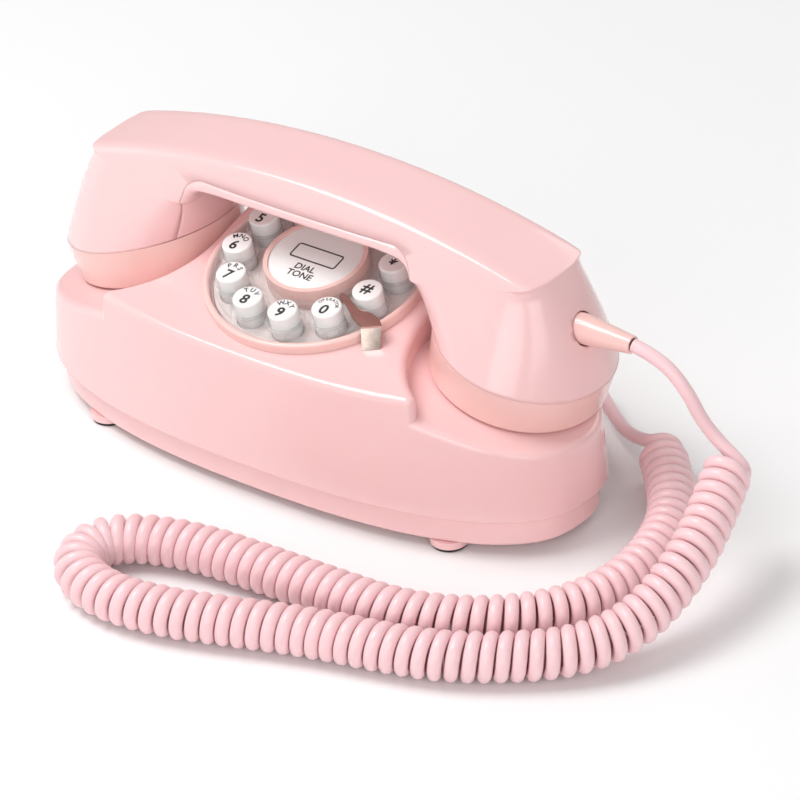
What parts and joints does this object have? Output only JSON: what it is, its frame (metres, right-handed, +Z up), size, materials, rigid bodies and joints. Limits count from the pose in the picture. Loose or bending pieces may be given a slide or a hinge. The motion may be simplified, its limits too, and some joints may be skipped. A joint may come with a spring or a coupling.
{
  "type": "compact bedroom telephone",
  "caption": "Low oval telephone base with a ring of push keys round a card, a handset lying across it in two round cradles, and a curly cord.",
  "frame": {"origin": "on the table, under the middle of the base", "axes": "+X along the handset towards its cord, +Y to the back, +Z up"},
  "size_m": [0.2768, 0.1967, 0.102],
  "materials": {
    "body_plastic": "smooth glossy light pink moulded plastic",
    "key_plastic": "glossy white moulded plastic",
    "clear_plastic": "clear polished plastic",
    "white_card": "smooth printed card",
    "stop_metal": "polished bright metal",
    "cord_plastic": "soft satin pink vinyl",
    "foot_rubber": "matt black foam rubber",
    "membrane_rubber": "matt grey silicone",
    "inner_plastic": "plain black moulding",
    "circuit_board": "green lacquered board",
    "screw_steel": "plated steel",
    "weight_iron": "rough painted iron",
    "capsule_metal": "plain pressed metal"
  },
  "bodies": {
    "base": {"base_housing": "body_plastic", "base_pan": "body_plastic", "dial_bezel": "body_plastic", "dial_faceplate": "body_plastic", "hub_ring": "body_plastic", "foot_discs": "body_plastic", "foot_pads": "foot_rubber", "pan_screws": "screw_steel", "board_screws": "screw_steel", "clear_plate": "clear_plastic", "card_window": "clear_plastic", "number_card": "white_card", "finger_stop": "stop_metal", "keypad_frame": "inner_plastic", "key_membrane": "membrane_rubber", "keypad_board": "circuit_board", "main_board": "circuit_board", "hook_switches": "inner_plastic", "base_weight": "weight_iron", "ringer": "inner_plastic", "line_socket": "inner_plastic", "handset_socket": "inner_plastic", "cord_plug": "clear_plastic", "handset_lead": "cord_plastic", "cord_coil": "cord_plastic", "plug_lead": "cord_plastic"},
    "handset": {"handset_shell": "body_plastic", "handset_grip_cover": "body_plastic", "handset_screws": "screw_steel", "handset_weight": "weight_iron", "mouthpiece_cap": "body_plastic", "earpiece_cap": "body_plastic", "receiver_capsule": "capsule_metal", "microphone_capsule": "capsule_metal", "cord_boot": "cord_plastic"},
    "key_1": {"key_1": "key_plastic"},
    "key_2": {"key_2": "key_plastic"},
    "key_3": {"key_3": "key_plastic"},
    "key_4": {"key_4": "key_plastic"},
    "key_5": {"key_5": "key_plastic"},
    "key_6": {"key_6": "key_plastic"},
    "key_7": {"key_7": "key_plastic"},
    "key_8": {"key_8": "key_plastic"},
    "key_9": {"key_9": "key_plastic"},
    "key_0": {"key_0": "key_plastic"},
    "key_star": {"key_star": "key_plastic"},
    "key_hash": {"key_hash": "key_plastic"},
    "hook_plunger_left": {"hook_plunger_left": "key_plastic"},
    "hook_plunger_right": {"hook_plunger_right": "key_plastic"},
    "ringer_switch": {"ringer_switch": "inner_plastic"}
  },
  "joints": [
    {"name": "handset_lift", "type": "slide", "parent": "base", "child": "handset", "axis": [0, 0, 1], "range_m": [0, 0.07]},
    {"name": "key_1_press", "type": "slide", "parent": "base", "child": "key_1", "axis": [0, 0.2283, -0.9736], "range_m": [0, 0.0013], "stiffness_N_per_m": 700, "springref_m": -0.0005},
    {"name": "key_2_press", "type": "slide", "parent": "base", "child": "key_2", "axis": [0, 0.2283, -0.9736], "range_m": [0, 0.0013], "stiffness_N_per_m": 700, "springref_m": -0.0005},
    {"name": "key_3_press", "type": "slide", "parent": "base", "child": "key_3", "axis": [0, 0.2283, -0.9736], "range_m": [0, 0.0013], "stiffness_N_per_m": 700, "springref_m": -0.0005},
    {"name": "key_4_press", "type": "slide", "parent": "base", "child": "key_4", "axis": [0, 0.2283, -0.9736], "range_m": [0, 0.0013], "stiffness_N_per_m": 700, "springref_m": -0.0005},
    {"name": "key_5_press", "type": "slide", "parent": "base", "child": "key_5", "axis": [0, 0.2283, -0.9736], "range_m": [0, 0.0013], "stiffness_N_per_m": 700, "springref_m": -0.0005},
    {"name": "key_6_press", "type": "slide", "parent": "base", "child": "key_6", "axis": [0, 0.2283, -0.9736], "range_m": [0, 0.0013], "stiffness_N_per_m": 700, "springref_m": -0.0005},
    {"name": "key_7_press", "type": "slide", "parent": "base", "child": "key_7", "axis": [0, 0.2283, -0.9736], "range_m": [0, 0.0013], "stiffness_N_per_m": 700, "springref_m": -0.0005},
    {"name": "key_8_press", "type": "slide", "parent": "base", "child": "key_8", "axis": [0, 0.2283, -0.9736], "range_m": [0, 0.0013], "stiffness_N_per_m": 700, "springref_m": -0.0005},
    {"name": "key_9_press", "type": "slide", "parent": "base", "child": "key_9", "axis": [0, 0.2283, -0.9736], "range_m": [0, 0.0013], "stiffness_N_per_m": 700, "springref_m": -0.0005},
    {"name": "key_0_press", "type": "slide", "parent": "base", "child": "key_0", "axis": [0, 0.2283, -0.9736], "range_m": [0, 0.0013], "stiffness_N_per_m": 700, "springref_m": -0.0005},
    {"name": "key_star_press", "type": "slide", "parent": "base", "child": "key_star", "axis": [0, 0.2283, -0.9736], "range_m": [0, 0.0013], "stiffness_N_per_m": 700, "springref_m": -0.0005},
    {"name": "key_hash_press", "type": "slide", "parent": "base", "child": "key_hash", "axis": [0, 0.2283, -0.9736], "range_m": [0, 0.0013], "stiffness_N_per_m": 700, "springref_m": -0.0005},
    {"name": "hook_plunger_left_rise", "type": "slide", "parent": "base", "child": "hook_plunger_left", "axis": [-0.2622, 0, 0.965], "range_m": [0, 0.004]},
    {"name": "hook_plunger_right_rise", "type": "slide", "parent": "base", "child": "hook_plunger_right", "axis": [0.2622, 0, 0.965], "range_m": [0, 0.004]},
    {"name": "ringer_switch_slide", "type": "slide", "parent": "base", "child": "ringer_switch", "axis": [1, 0, 0], "range_m": [0, 0.004]}
  ],
  "couplings": [
    {"joint": "hook_plunger_left_rise", "follows": "handset_lift", "ratio": 0.0571},
    {"joint": "hook_plunger_right_rise", "follows": "handset_lift", "ratio": 0.0571}
  ]
}
